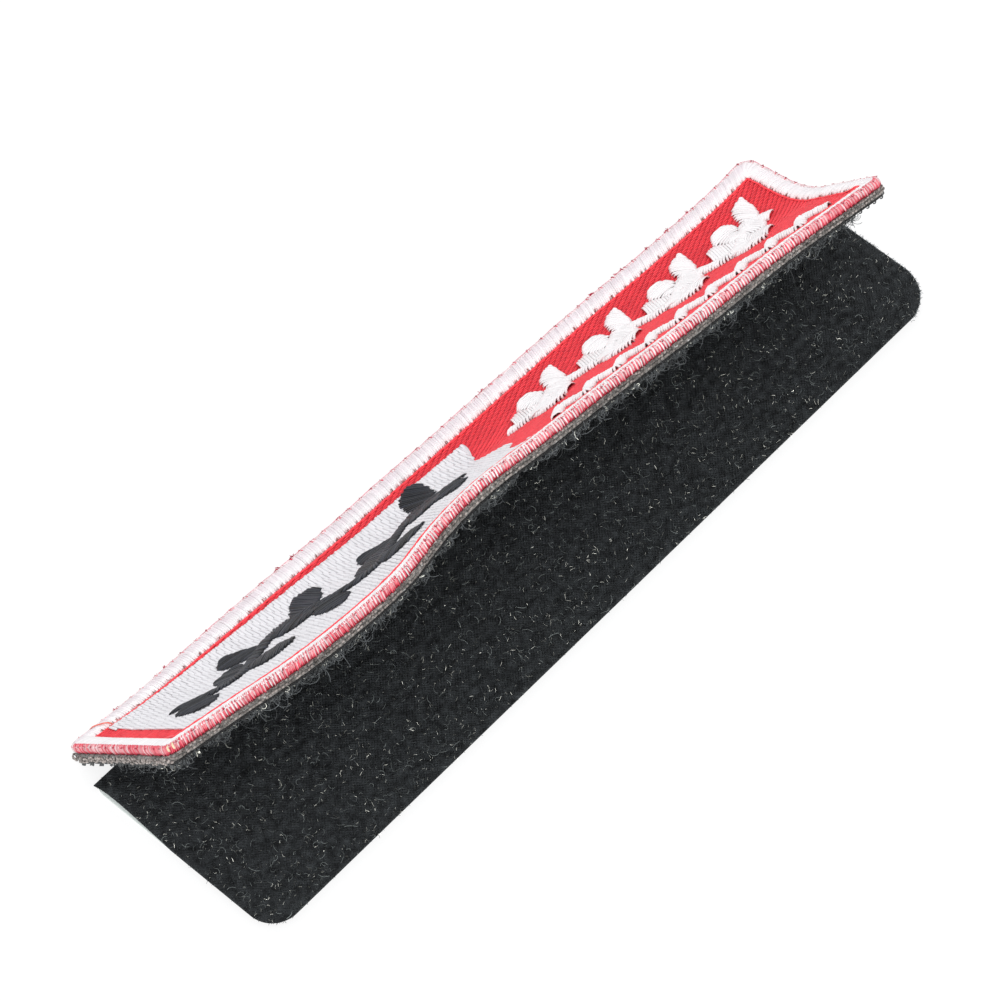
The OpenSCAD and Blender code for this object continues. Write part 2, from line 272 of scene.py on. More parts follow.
def threads(name, paths, ups, half_w, half_h, form, finish, slot, **values):
    """Many closed tubes in one piece. Each of the n paths has s points; round each point stands a ring, the
    pairs of form scaled by the half width and half height, square to the path, with its top toward ups.
    values are one number a thread, or one for each point of its path."""
    count, steps = paths.shape[:2]
    sides = len(form)
    along = unit(np.gradient(paths, axis=1))
    across = unit(np.cross(along, ups))
    top = np.cross(across, along)
    wide = np.broadcast_to(half_w, (count, steps))[..., None, None] * form[:, 0, None]
    high = np.broadcast_to(half_h, (count, steps))[..., None, None] * form[:, 1, None]
    points = paths[:, :, None] + across[:, :, None] * wide + top[:, :, None] * high
    ring = np.arange(count * steps * sides).reshape(count, steps, sides)
    here, ahead = ring[:, :-1], ring[:, 1:]
    walls = np.stack([here, ahead, np.roll(ahead, -1, 2), np.roll(here, -1, 2)], -1).reshape(-1, 4)
    ends = np.concatenate([ring[:, 0], ring[:, -1, ::-1]])
    spread = {}
    for label, numbers in values.items():
        numbers = np.asarray(numbers, float).reshape(count, -1)
        spread[label] = np.repeat(np.broadcast_to(numbers, (count, steps)).ravel(), sides)
    return new_piece(name, points.reshape(-1, 3), [walls, ends], finish, slot, **spread)


def curls(roots, heading, axis, length, turn, steps):
    """Fibres that turn evenly: the heading swings by turn about axis, and the points are its running sum.
    Returns the paths and, for each point, the direction that the fibre turns toward."""
    angle = turn[:, None] * np.linspace(0, 1, steps)
    inward = np.cross(axis, heading)
    swing = heading[:, None] * np.cos(angle)[..., None] + inward[:, None] * np.sin(angle)[..., None]
    step = (swing[:, 1:] + swing[:, :-1]) / 2 * (length / (steps - 1))[:, None, None]
    paths = roots[:, None] + np.concatenate([np.zeros_like(swing[:, :1]), np.cumsum(step, 1)], 1)
    toward = inward[:, None] * np.cos(angle)[..., None] - heading[:, None] * np.sin(angle)[..., None]
    return paths, toward


def square_axis(heading, random):
    """Random unit axes square to the headings."""
    return unit(np.cross(heading, unit(random.normal(size=heading.shape))))


# Finishes

def new_group(name, inputs, outputs):
    """Node group with float or colour sockets, given as (name, kind, default)."""
    group = bpy.data.node_groups.new(name, "ShaderNodeTree")
    for label, kind, default in inputs:
        socket = group.interface.new_socket(label, in_out="INPUT", socket_type="NodeSocket" + kind)
        socket.default_value = default
    for label, kind in outputs:
        group.interface.new_socket(label, in_out="OUTPUT", socket_type="NodeSocket" + kind)
    return group, group.nodes.new("NodeGroupInput"), group.nodes.new("NodeGroupOutput")


def noise_node(nodes, links, scale, detail=3.0):
    """Factor output of a noise on Object coordinates; scale is a socket or a number."""
    place = nodes.new("ShaderNodeTexCoord")
    noise = nodes.new("ShaderNodeTexNoise")
    noise.inputs["Detail"].default_value = detail
    links.new(place.outputs["Object"], noise.inputs["Vector"])
    if isinstance(scale, (int, float)):
        noise.inputs["Scale"].default_value = scale
    else:
        links.new(scale, noise.inputs["Scale"])
    return noise.outputs["Fac"]


def shade_group():
    """Colour that varies from thread to thread and in soft patches: the colour, lighter or darker by Spread
    times the thread's own Tone and by Patchiness times a noise."""
    group, inside, outside = new_group("thread_shade", [
        ("Color", "Color", (0.8, 0.8, 0.8, 1)), ("Tone", "Float", 0.5), ("Spread", "Float", 0.2),
        ("Patchiness", "Float", 0.1), ("Scale", "Float", 400.0),
    ], [("Color", "Color")])
    nodes, links = group.nodes, group.links
    noise = noise_node(nodes, links, inside.outputs["Scale"])
    centred_tone = math_node(nodes, links, "SUBTRACT", inside.outputs["Tone"], 0.5)
    by_tone = math_node(nodes, links, "MULTIPLY", centred_tone, inside.outputs["Spread"])
    centred_noise = math_node(nodes, links, "SUBTRACT", noise, 0.5)
    by_noise = math_node(nodes, links, "MULTIPLY", centred_noise, inside.outputs["Patchiness"])
    change = math_node(nodes, links, "ADD", by_tone, by_noise)
    factor = math_node(nodes, links, "ADD", change, 1.0)
    scale = nodes.new("ShaderNodeVectorMath")
    scale.operation = "SCALE"
    links.new(inside.outputs["Color"], scale.inputs[0])
    links.new(factor, scale.inputs["Scale"])
    links.new(scale.outputs["Vector"], outside.inputs["Color"])
    return group


def cloth_group():
    """Height of a plain weave with fuzz over it: crossed sine waves along the cloth's own two directions,
    given as Along and Across in millimetres, plus a fine noise."""
    group, inside, outside = new_group("cloth_relief", [
        ("Along", "Float", 0.0), ("Across", "Float", 0.0), ("Pitch", "Float", 0.5), ("Fuzz", "Float", 0.5),
    ], [("Height", "Float")])
    nodes, links = group.nodes, group.links
    waves = []
    for label in ("Along", "Across"):
        turns = math_node(nodes, links, "DIVIDE", inside.outputs[label], inside.outputs["Pitch"])
        angle = math_node(nodes, links, "MULTIPLY", turns, 2 * math.pi)
        waves.append(math_node(nodes, links, "SINE", angle, 0.0))
    weave = math_node(nodes, links, "MULTIPLY", waves[0], waves[1])
    noise = noise_node(nodes, links, 5000, 4)
    fuzz = math_node(nodes, links, "MULTIPLY", noise, inside.outputs["Fuzz"])
    links.new(math_node(nodes, links, "ADD", weave, fuzz), outside.inputs["Height"])
    return group


def math_node(nodes, links, operation, first, second):
    """Output of a Math node; each input is a socket or a number."""
    node = nodes.new("ShaderNodeMath")
    node.operation = operation
    for socket, value in zip(node.inputs, (first, second)):
        if isinstance(value, (int, float)):
            socket.default_value = value
        else:
            links.new(value, socket)
    return node.outputs["Value"]


def new_finish(name, **constants):
    """Material with one Principled shader, whose constant sockets are set on the shader itself."""
    finish = bpy.data.materials.new(name)
    finish.use_nodes = True
    shader = finish.node_tree.nodes["Principled BSDF"]
    for label, value in constants.items():
        shader.inputs[label.replace("_", " ")].default_value = value
    return finish, finish.node_tree.nodes, finish.node_tree.links, shader


def read_value(nodes, label):
    """Output of an Attribute node that reads one of the piece's own values."""
    node = nodes.new("ShaderNodeAttribute")
    node.attribute_name = label
    return node.outputs["Fac"]


def mixed(nodes, links, factor, first, second):
    """Colour between first and second by factor; each is a socket or a colour."""
    node = nodes.new("ShaderNodeMix")
    node.data_type = "RGBA"
    links.new(factor, node.inputs["Factor"])
    for label, value in (("A", first), ("B", second)):
        socket = [s for s in node.inputs if s.name == label and s.type == "RGBA"][0]
        if isinstance(value, tuple):
            socket.default_value = (*value, 1)
        else:
            links.new(value, socket)
    return [s for s in node.outputs if s.type == "RGBA"][0]


def bumped(nodes, links, shader, height, depth):
    """Normal from a height between 0 and 1, depth metres high."""
    node = nodes.new("ShaderNodeBump")
    node.inputs["Distance"].default_value = depth
    links.new(height, node.inputs["Height"])
    links.new(node.outputs["Normal"], shader.inputs["Normal"])


def shaded(nodes, links, colour, spread, patchiness, scale):
    """Colour output of the thread_shade group; colour is a socket or a colour."""
    node = nodes.new("ShaderNodeGroup")
    node.node_tree = THREAD_SHADE
    if isinstance(colour, tuple):
        node.inputs["Color"].default_value = (*colour, 1)
    else:
        links.new(colour, node.inputs["Color"])
    links.new(read_value(nodes, "tone"), node.inputs["Tone"])
    node.inputs["Spread"].default_value = spread
    node.inputs["Patchiness"].default_value = patchiness
    node.inputs["Scale"].default_value = scale
    return node.outputs["Color"]


def thread_finish(name, colour, roughness, spread=0.16, patchiness=0.1, scale=350, second=None, **constants):
    """Thread or fibre: its colour varies with the tone of each thread, and turns to second by the piece's
    blush value where second is given; that value carries a second thread colour, painted
    shade or a painted highlight, as each piece sets it."""
    finish, nodes, links, shader = new_finish(name, Roughness=roughness, **constants)
    base = mixed(nodes, links, read_value(nodes, "blush"), colour, second) if second else colour
    links.new(shaded(nodes, links, base, spread, patchiness, scale), shader.inputs["Base Color"])
    return finish


def ramped(nodes, links, factor, low, high):
    """Factor spread from 0 at low to 1 at high."""
    node = nodes.new("ShaderNodeMapRange")
    node.inputs["From Min"].default_value = low
    node.inputs["From Max"].default_value = high
    links.new(factor, node.inputs["Value"])
    return node.outputs["Result"]


def cloth_finish(name, colour, dark, roughness, pitch, fuzz, depth, **constants):
    """Woven ground: a plain weave in relief along the piece's own along and across values, whose colour is
    patchy between dark and colour."""
    finish, nodes, links, shader = new_finish(name, Roughness=roughness, **constants)
    patches = ramped(nodes, links, noise_node(nodes, links, 900), 0.3, 0.7)
    links.new(mixed(nodes, links, patches, dark, colour), shader.inputs["Base Color"])
    relief = nodes.new("ShaderNodeGroup")
    relief.node_tree = CLOTH_RELIEF
    links.new(read_value(nodes, "along"), relief.inputs["Along"])
    links.new(read_value(nodes, "across"), relief.inputs["Across"])
    relief.inputs["Pitch"].default_value = pitch
    relief.inputs["Fuzz"].default_value = fuzz
    bumped(nodes, links, shader, relief.outputs["Height"], depth)
    return finish


def glued_finish():
    """Grey cloth soaked with clear glue: warm grey, dark and light grains, glossy in spots, with pale spots
    painted into its colour as glints.
    """
    finish, nodes, links, shader = new_finish("glued_backing", Specular_IOR_Level=0.8)
    grains = ramped(nodes, links, noise_node(nodes, links, 2600, 4), 0.38, 0.66)
    grey = mixed(nodes, links, grains, (0.055, 0.05, 0.045), (0.34, 0.32, 0.30))
    # Painted highlights: pale spots mixed into the base colour stand for glints.
    glints = ramped(nodes, links, noise_node(nodes, links, 1500, 2), 0.62, 0.72)
    links.new(mixed(nodes, links, glints, grey, (0.75, 0.74, 0.72)), shader.inputs["Base Color"])
    links.new(ramped(nodes, links, grains, 1.6, -0.4), shader.inputs["Roughness"])
    bumped(nodes, links, shader, noise_node(nodes, links, 2000, 5), 0.00025)
    return finish


def padding_finish():
    """Padding under the border: white on top, and red cloth where the piece's wall value is 1."""
    finish, nodes, links, shader = new_finish("border_padding", Roughness=0.7)
    wall = read_value(nodes, "wall")
    red = mixed(nodes, links, noise_node(nodes, links, 2500), (0.36, 0.01, 0.025), (0.75, 0.05, 0.07))
    links.new(mixed(nodes, links, wall, (0.86, 0.78, 0.80), red), shader.inputs["Base Color"])
    bumped(nodes, links, shader, noise_node(nodes, links, 4000), 0.00012)
    return finish


def film_finish():
    """Thin release film: pale green white, faintly cloudy."""
    finish, nodes, links, shader = new_finish("release_film", Roughness=0.35)
    clouds = noise_node(nodes, links, 60)
    colour = mixed(nodes, links, clouds, (0.78, 0.86, 0.82), (0.86, 0.90, 0.87))
    links.new(colour, shader.inputs["Base Color"])
    return finish


THREAD_SHADE = shade_group()
CLOTH_RELIEF = cloth_group()
# The white satin's second colour, lavender grey, is painted shade for satin that slopes away from the light.
WHITE_SATIN = thread_finish(
    "white_satin_thread", (0.95, 0.925, 0.93), 0.38, spread=0.1, second=(0.82, 0.73, 0.77),
    Specular_IOR_Level=0.6)
WHITE_FILL = thread_finish("white_fill_thread", (0.86, 0.845, 0.87), 0.55, spread=0.07, patchiness=0.06)
FIELD_GROUND = thread_finish("white_fill_ground", (0.80, 0.78, 0.81), 0.7, spread=0.0, scale=1500)
OVERCAST = thread_finish(
    "overcast_thread", (0.92, 0.86, 0.86), 0.36, spread=0.3, second=(0.80, 0.07, 0.115))
RED_TWILL = thread_finish(
    "red_twill_yarn", (1.0, 0.076, 0.098), 0.5, spread=0.2, scale=200, Specular_IOR_Level=0.35)
RED_FIBRE = thread_finish("red_cut_fibre", (0.55, 0.035, 0.08), 0.6, spread=0.7)
PINK_FIBRE = thread_finish("pink_cut_edge", (0.80, 0.36, 0.43), 0.6, patchiness=0.8, scale=900)
# Dark red thread laid in the border's notches as painted shade.
NOTCH_SHADE_THREAD = thread_finish("notch_shade_thread", (0.42, 0.12, 0.09), 0.5, spread=0.8)
CORAL_THREAD = thread_finish("coral_thread", (0.90, 0.16, 0.10), 0.5)
CREAM_THREAD = thread_finish("cream_thread", (0.88, 0.74, 0.50), 0.4)
BLACK_SATIN = thread_finish(
    "black_satin_thread", (0.017, 0.019, 0.026), 0.5, spread=1.6, patchiness=1.0, scale=900,
    Specular_IOR_Level=0.35)
PILE_FIBRE = thread_finish("loop_pile_fibre", (0.068, 0.076, 0.080), 0.45, spread=1.8)
CURL_FIBRE = thread_finish("curled_pile_fibre", (0.19, 0.21, 0.205), 0.35, spread=1.9)
# Near-white fibres that stand for glints on the black pile and the torn loops: painted highlights.
GLINT_FIBRE = thread_finish("painted_glint_fibre", (1.0, 1.0, 0.90), 0.28, spread=1.9, patchiness=0.6)
TORN_FIBRE = thread_finish("torn_loop_fibre", (0.125, 0.135, 0.14), 0.4, spread=1.6)
GLUED_THREAD = thread_finish(
    "glued_thread", (0.29, 0.255, 0.235), 0.33, spread=1.1, patchiness=1.0, scale=700)
HOOK_PLASTIC = thread_finish("hook_plastic", (0.11, 0.115, 0.115), 0.3, spread=0.6)
TWILL_GROUND = cloth_finish(
    "red_twill_ground", (0.80, 0.035, 0.05), (0.62, 0.02, 0.04), 0.7, pitch=0.34, fuzz=0.5, depth=0.00008)
TAPE_CLOTH = cloth_finish(
    "hook_tape_cloth", (0.012, 0.012, 0.013), (0.004, 0.004, 0.004), 0.35, pitch=0.6, fuzz=0.6, depth=0.0001)
PILE_BED = cloth_finish(
    "loop_pile_bed", (0.062, 0.070, 0.075), (0.010, 0.012, 0.014), 0.7, pitch=0.5, fuzz=4.0, depth=0.0002,
    Specular_IOR_Level=0.4)
GLUED = glued_finish()
PADDING = padding_finish()
FILM = film_finish()


# Cloth layers of the patch

def corner_in(distance, radius):
    """How far a round corner draws the outline in at a distance from the edge."""
    rest = np.clip(radius - distance, 0, radius)
    return radius - np.sqrt(np.maximum(radius ** 2 - rest ** 2, 0))


def patch_layer(name, inset, levels, corner_r, rough, finish, slot, replaced, steps=110, left_out=0.0):
    """Layer of the patch between two levels, low and high, with round corners at its left and right end and
    an edge that wanders by rough; its left end stands out by left_out."""
    v = np.linspace(inset, PATCH_W - inset, 40)
    v = np.sort(np.concatenate([v, [inset + 0.15, PATCH_W - inset - 0.15]]))
    t = np.linspace(0, 1, steps)
    from_edge = np.minimum(v - inset, PATCH_W - inset - v)
    left = inset - left_out + corner_in(from_edge, corner_r[0]) + rough * ripples(v, 0, 2.0, 31)
    right = PATCH_LEN - inset - corner_in(from_edge, corner_r[1]) + rough * ripples(v, 9, 2.0, 32)
    u = left[:, None] + (right - left)[:, None] * t
    near_edge = np.exp(-((PATCH_W - inset - v) / 0.8) ** 2)[:, None] * rough * ripples(u, 0, 1.6, 33)
    v = v[:, None] + near_edge
    points, faces = slab(face_point(u, v, levels[1]), face_point(u, v, levels[0]))
    flat_u, flat_v = np.tile(u.ravel(), 2), np.tile(v.ravel(), 2)
    piece = new_piece(name, points, faces, finish, slot, along=flat_u, across=flat_v)
    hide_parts(replaced)
    return piece


def field_edge(v):
    """Right edge of the white field at a distance v from the far edge."""
    return FIELD_END + FIELD_WAVE * np.sin(np.radians(360 * 2.5 * v / PATCH_W))


def field_far_edge(u):
    """Far edge of the white field at a distance u along it: it draws away from the border."""
    return FIELD_FAR + FIELD_SLANT * (u - FIELD_LEFT)


def white_field_ground():
    """Ground of the white field, from its left edge to its wavy right edge."""
    across = np.linspace(0, 1, 40)[:, None]
    v = FIELD_FAR + (FIELD_NEAR - FIELD_FAR) * across
    u = FIELD_LEFT + (field_edge(v) - FIELD_LEFT) * np.linspace(0, 1, 90)
    v = v + (field_far_edge(u) - FIELD_FAR) * (1 - across)
    points, faces = slab(face_point(u, v, STITCH_TOP - 0.08), face_point(u, v, TWILL_TOP - 0.05))
    piece = new_piece("white_field_ground", points, faces, FIELD_GROUND, "white_fill",
                      tone=np.full(len(points), 0.5))
    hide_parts("white_field")
    return piece


def on_face(u, v, n):
    """Paths on the patch and the normals along them."""
    return face_point(u, v, n), face_normal(u, v)


def white_field_stitches():
    """Fill stitches across the patch in brick order: each is a flat arch that dips into its needle holes,
    some deeper than others."""
    pitch, length, slant = 0.40, 3.3, -0.2
    random = np.random.default_rng(5)
    columns = np.arange(FIELD_LEFT - 0.2, FIELD_END + 2.5, pitch)
    rows = np.arange(FIELD_FAR - length, FIELD_NEAR + length, length)
    u, v = (a.ravel() for a in np.meshgrid(columns, rows, indexing="ij"))
    v = v + (np.round(u / pitch) % 3) / 3 * length + random.uniform(-0.2, 0.2, len(u))
    near_end = random.uniform(-0.15, 0.1, len(u))
    start, end = np.maximum(v, field_far_edge(u) - 0.1), np.minimum(v + length, FIELD_NEAR + near_end)
    middle = (start + end) / 2
    kept = (end - start > 0.6) & (u < field_edge(middle))
    kept &= u > FIELD_LEFT + 0.4 * ripples(middle, 0, 3.5, 15)
    u, start, end = u[kept], start[kept], end[kept]
    t = np.array([0.0, 0.08, 0.5, 0.92, 1.0])
    path_v = start[:, None] + (end - start)[:, None] * t
    path_u = u[:, None] + slant * (t - 0.5)
    dip = np.where(random.uniform(0, 1, (2, len(u))) < 0.45, 0.15, 0.05)
    level = np.full(path_v.shape, STITCH_TOP - 0.05) + random.uniform(-0.008, 0.008, len(u))[:, None]
    level[:, 0] -= dip[0]
    level[:, -1] -= dip[1]
    paths, ups = on_face(path_u, path_v, level)
    width = pitch * np.array([0.45, 0.62, 0.66, 0.62, 0.45])
    return threads("white_field_stitches", paths, ups, width, 0.05, SQUAT, WHITE_FILL, "white_fill",
                   tone=random.uniform(0, 1, len(u)))


def twill_yarns():
    """Yarns of the twill: floats along the patch in rows, each row stepped on, so that the floats line up in
    slanting ribs. A float is a slim lens that dips at both ends. None lie under the white field."""
    row_pitch, float_pitch, float_len = 0.27, 1.52, 1.34
    step = row_pitch / math.tan(math.radians(26))
    random = np.random.default_rng(6)
    rows = np.arange(BORDER_W - 0.2, PATCH_W - BORDER_W + 0.2, row_pitch)
    starts = np.arange(-float_pitch * 12, PATCH_LEN + float_pitch * 60, float_pitch)
    number, start = (a.ravel() for a in np.meshgrid(np.arange(len(rows)), starts, indexing="ij"))
    v = rows[number]
    u = start - number * step + random.uniform(-0.07, 0.07, len(start))
    middle = u + float_len / 2
    inside = (u > BORDER_W - 0.9) & (u + float_len < PATCH_LEN - BORDER_W + 0.9)
    under = (middle > FIELD_LEFT + 1) & (middle < field_edge(v) - 1) & (v < FIELD_NEAR - 0.3)
    kept = inside & ~(under & (v > field_far_edge(middle) + 0.3))
    u, v = u[kept], v[kept]
    t = np.array([0.0, 0.2, 0.8, 1.0])
    path_u = u[:, None] + float_len * t
    path_v = v[:, None] + np.array([0.05, 0.0, 0.0, -0.05])
    level = TWILL_TOP - 0.02 + random.uniform(-0.02, 0.02, len(u))[:, None] + np.array([-0.1, 0.0, 0.0, -0.1])
    paths, ups = on_face(path_u, path_v, level)
    width = row_pitch * np.array([0.3, 0.56, 0.56, 0.3])
    return threads("twill_yarns", paths, ups, width, 0.08, THREE_SIDED, RED_TWILL, "red_twill",
                   tone=random.uniform(0, 1, len(u)))


# Border

def patch_loop(inset, left_r, right_r, steps=8):
    """Closed loop at a setback from the patch's outline: four quarter circles, joined by straight sides, from
    the far left corner along the far side."""
    turn = np.linspace(0, 90, steps + 1)
    left, right = inset + left_r, PATCH_LEN - inset - right_r
    corners = [
        (left, inset + left_r, left_r, 180),
        (right, inset + right_r, right_r, 270),
        (right, PATCH_W - inset - right_r, right_r, 0),
        (left, PATCH_W - inset - left_r, left_r, 90),
    ]
    arcs = []
    for u, v, r, start in corners:
        angle = np.radians(start + turn)
        arcs.append(np.stack([u + r * np.cos(angle), v + r * np.sin(angle)], -1))
    loop = np.concatenate(arcs)
    return np.concatenate([loop, loop[:1]])


OUTER_LOOP = patch_loop(0, LEFT_R, RIGHT_R)
INNER_LOOP = patch_loop(BORDER_W, INNER_R, INNER_R)
LOOP_S = np.concatenate([[0], np.cumsum(np.linalg.norm(np.diff(OUTER_LOOP, axis=0), axis=1))])
PERIMETER = LOOP_S[-1]
SATIN_LAG = 0.4 * BORDER_W
WALL_DROP = 0.6


def across_border(s, share):
    """(u, v) at a distance s round the outer loop and a share of the way in to the inner loop."""
    s = np.mod(s, PERIMETER)
    outer = [np.interp(s, LOOP_S, OUTER_LOOP[:, k]) for k in (0, 1)]
    inner = [np.interp(s, LOOP_S, INNER_LOOP[:, k]) for k in (0, 1)]
    return [a + (b - a) * share for a, b in zip(outer, inner)]


def satin_place(s, share):
    """(u, v) of satin stitches that lag behind at their inner ends."""
    return across_border(s[:, None] - SATIN_LAG * (share - 0.3), share)


def out_of_wall(paths, s, share, level):
    """Unit directions out of the border's outer wall: from the points one border's width further in."""
    inner_u, inner_v = across_border(s, share + 1.0)
    return unit(paths - face_point(inner_u, inner_v, level))


def crown(share):
    """Level of the padded border at a share of its width from the outer edge: steep at its outer shoulder,
    highest past its middle, and rounded down to the twill."""
    shares = [0.0, 0.1, 0.3, 0.55, 0.75, 0.9, 1.0]
    return np.interp(share, shares, [-0.24, -0.11, -0.03, 0.0, -0.07, -0.25, -0.48])


def border_padding():
    """Padding of the border: a closed ring whose section is the crown, an upright wall outside and a short
    one inside."""
    top = np.linspace(0, 1, 9)
    share = np.concatenate([[0.07, 0.03, 0.03, 0.03], 0.03 + 0.93 * top, [0.98]])
    level = np.concatenate([[BORDER_FOOT, -1.2, -0.85, -0.5], crown(top) - 0.17, [BORDER_FOOT]])
    wall = np.concatenate([np.ones(5), [0.3], np.zeros(len(share) - 6)])
    s = np.arange(0, PERIMETER, 0.8)
    u, v = across_border(s[:, None], share)
    points = face_point(u, v, level)
    count, sides = points.shape[:2]
    ring = np.arange(count * sides).reshape(count, sides)
    ahead = np.roll(ring, -1, 0)
    quads = np.stack([ring, ahead, np.roll(ahead, -1, 1), np.roll(ring, -1, 1)], -1).reshape(-1, 4)
    points = points.reshape(-1, 3)
    piece = new_piece("border_padding", points, facing_out(points, [quads]), PADDING, "white_thread",
                      wall=np.tile(wall, count))
    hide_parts("stitched_border")
    return piece


def loop_places(seed, least, most):
    """Distances round the loop at random steps between least and most."""
    places = np.cumsum(np.random.default_rng(seed).uniform(least, most, 200))
    return places[places < PERIMETER - 1]


# Notches in the border's inner edge, and red fibres that stick out of its outer edge
NOTCHES = loop_places(17, 1.8, 4.2)
TUFTS = loop_places(16, 1.6, 2.8)


def border_satin():
    """Satin stitches over the border, side by side, each an arch from its inner end to the outer shoulder.
    They lie in small bundles, and their inner ends lag behind and are ragged, with a notch here and there.
    On the far side, and less at the right end, their outer part is mixed toward lavender grey: painted
    shade for the slope that faces away from the light."""
    pitch, bundle_len = 0.335, 0.95
    random = np.random.default_rng(7)
    count = int(PERIMETER / pitch)
    s = np.arange(count) * PERIMETER / count + random.uniform(-0.03, 0.03, count)
    from_notch = np.abs(s[:, None] - NOTCHES).min(1)
    bundle = np.sin(2 * np.pi * s / bundle_len + 1.5 * ripples(s, 0, 6, 27))
    inner = 1.02 - 0.10 * np.exp(-(from_notch / 0.2) ** 2) + 0.045 * bundle
    inner = inner + random.uniform(-0.05, 0.05, count)
    t = np.array([0.0, 0.06, 0.18, 0.36, 0.56, 0.76, 0.92, 1.0])
    share = inner[:, None] + (-0.03 - inner)[:, None] * t
    u, v = satin_place(s, share)
    level = crown(share) - 0.07 + (0.015 * bundle + random.uniform(-0.015, 0.015, count))[:, None]
    level[:, 0] = TWILL_TOP - 0.05
    level[:, -1] -= 0.1
    paths, ups = on_face(u, v, level)
    # Painted shade: the outer part of the satin on the far side and the right end is mixed toward lavender
    # grey.
    far_side = np.select([s < PATCH_LEN, s < PATCH_LEN + PATCH_W], [1.0, 0.4], 0.0)[:, None]
    blush = far_side * np.clip((0.74 - share) / 0.2, 0, 1) * random.uniform(0.6, 1.0, count)[:, None]
    width = pitch * 0.68 * random.uniform(0.92, 1.1, count)[:, None] * np.where(t < 0.05, 0.4, 1.0)
    # The tone follows the bundles as well as a random spread: painted shade in the gaps between bundles and
    # painted light on their tops.
    tone = 0.5 + 0.3 * bundle + random.uniform(-0.5, 0.5, count)
    return threads("border_satin", paths, ups, width, 0.1, SQUAT, WHITE_SATIN, "white_thread", tone=tone,
                   blush=blush)


def border_notches():
    """Dark red threads laid in the notches of the border's inner edge: painted shade in the notches."""
    random = np.random.default_rng(18)
    s = np.repeat(NOTCHES, 2) + random.normal(0, 0.1, 2 * len(NOTCHES))
    t = np.linspace(0, 1, 4)
    share = (0.92 + 0.04 * random.uniform(-1, 1, len(s)))[:, None] + 0.13 * t
    u, v = satin_place(s, share)
    paths, ups = on_face(u, v, crown(share) + np.array([-0.08, 0.0, 0.0, -0.12]))
    return threads("border_notches", paths, ups, 0.05, 0.04, THREE_SIDED, NOTCH_SHADE_THREAD, "red_twill",
                   tone=random.uniform(0, 1, len(s)))


def border_overcast():
    """Overcast stitches down the border's outer wall, which bulge like beads, white and red by turns; the
    white ones stand proud and turn red toward both ends, which paints a highlight on the middle of each bead
    over the real white and red threads. On the far side most of the red ones are washed out to pink."""
    pitch = 0.46
    random = np.random.default_rng(9)
    count = 2 * int(PERIMETER / pitch)
    s = np.arange(count) * PERIMETER / count + random.uniform(-0.045, 0.045, count)
    u, v = across_border(s, 0.0)
    near = np.exp(-((v - PATCH_W) / 1.5) ** 2)
    rightward = np.clip((u - 35) / 20, 0, 1)
    white = np.arange(count) % 2 == 0
    share = np.array([0.12, 0.02, -0.05, -0.075, -0.05, 0.0]) + np.where(white, 0.0, 0.015)[:, None]
    level = np.array([-0.13, -0.2, -0.42, -0.75, -1.08, -1.3])
    level = level + random.uniform(-0.12, 0.12, count)[:, None] * np.array([0.5, 0.4, 0, 0.3, 1.0, 1.6])
    lean = random.uniform(-0.1, 0.1, count) - near * (0.1 + 0.12 * ripples(u, 0, 9, 28))
    path_s = s[:, None] + lean[:, None] * (level + 0.6)
    path_u, path_v = across_border(path_s, share)
    paths = face_point(path_u, path_v, level)
    ups = out_of_wall(paths, path_s, share, level - WALL_DROP)
    tint = 0.36 - 0.3 * rightward + 0.3 * np.clip((u - 95) / 15, 0, 1) + 0.25 * ripples(s, 0, 5, 29)
    blush = np.where(white, tint + 0.25 * random.uniform(-1, 1, count), random.uniform(0.7, 1.0, count))
    blush = np.where((u < 3) & white, random.uniform(0.2, 1.0, count), blush)
    from_tuft = np.abs(s[:, None] - TUFTS).min(1)
    washed = 0.12 + 0.88 * np.exp(-(from_tuft / 0.3) ** 2)
    far_side = s < PATCH_LEN + PATCH_W - 3
    blush = np.where(far_side, np.where(white, 0.1, washed), blush)
    # Painted highlight: away from the far side the threads turn red toward both ends, so each white thread's
    # middle reads as a bead's highlight.
    ends = np.where(far_side, 0.0, 1.0)[:, None] * np.array([0.35, 0.1, 0.0, 0.0, 0.3, 0.7])
    width = np.where(white, 0.13 + 0.015 * rightward, 0.15) * random.uniform(0.85, 1.15, count)
    taper = np.array([0.6, 0.9, 1.05, 1.05, 0.9, 0.5])
    return threads("border_overcast", paths, ups, width[:, None] * taper, np.where(white, 0.13, 0.1)[:, None],
                   SQUAT, OVERCAST, "white_thread", tone=random.uniform(0, 1, count),
                   blush=np.clip(blush[:, None] + ends, 0, 1))


def border_piping():
    """Cut edge of the red cloth, which peeps out past the satin on the far side and at the right end."""
    s = np.linspace(-0.5, PATCH_LEN + PATCH_W - 2, 500)
    share = -0.085 + 0.015 * ripples(s, 0, 3.0, 11)
    u, v = across_border(s, share)
    paths, ups = on_face(u[None], v[None], -0.3 + 0.05 * ripples(s, 4, 2.0, 12))
    return threads("border_piping", paths, ups, 0.06, 0.06, LYING, PINK_FIBRE, "red_twill", tone=[0.7])


def inner_cord():
    """Edge of the twill inside the border: a thin red cord, raised along the near side, where it parts the
    border from the white field."""
    s = np.linspace(0, PERIMETER, 760)
    u, v = across_border(s, 1.09 + 0.015 * ripples(s, 0, 2.5, 19))
    raised = np.clip((v - 24) / 3, 0, 1)
    paths, ups = on_face(u[None], v[None], -0.66 + raised * 0.44 + 0.03 * ripples(s, 4, 2.0, 20))
    return threads("inner_cord", paths, ups, 0.16 + 0.04 * raised[None], 0.12 + 0.04 * raised[None], LYING,
                   RED_TWILL, "red_twill", tone=[0.6])


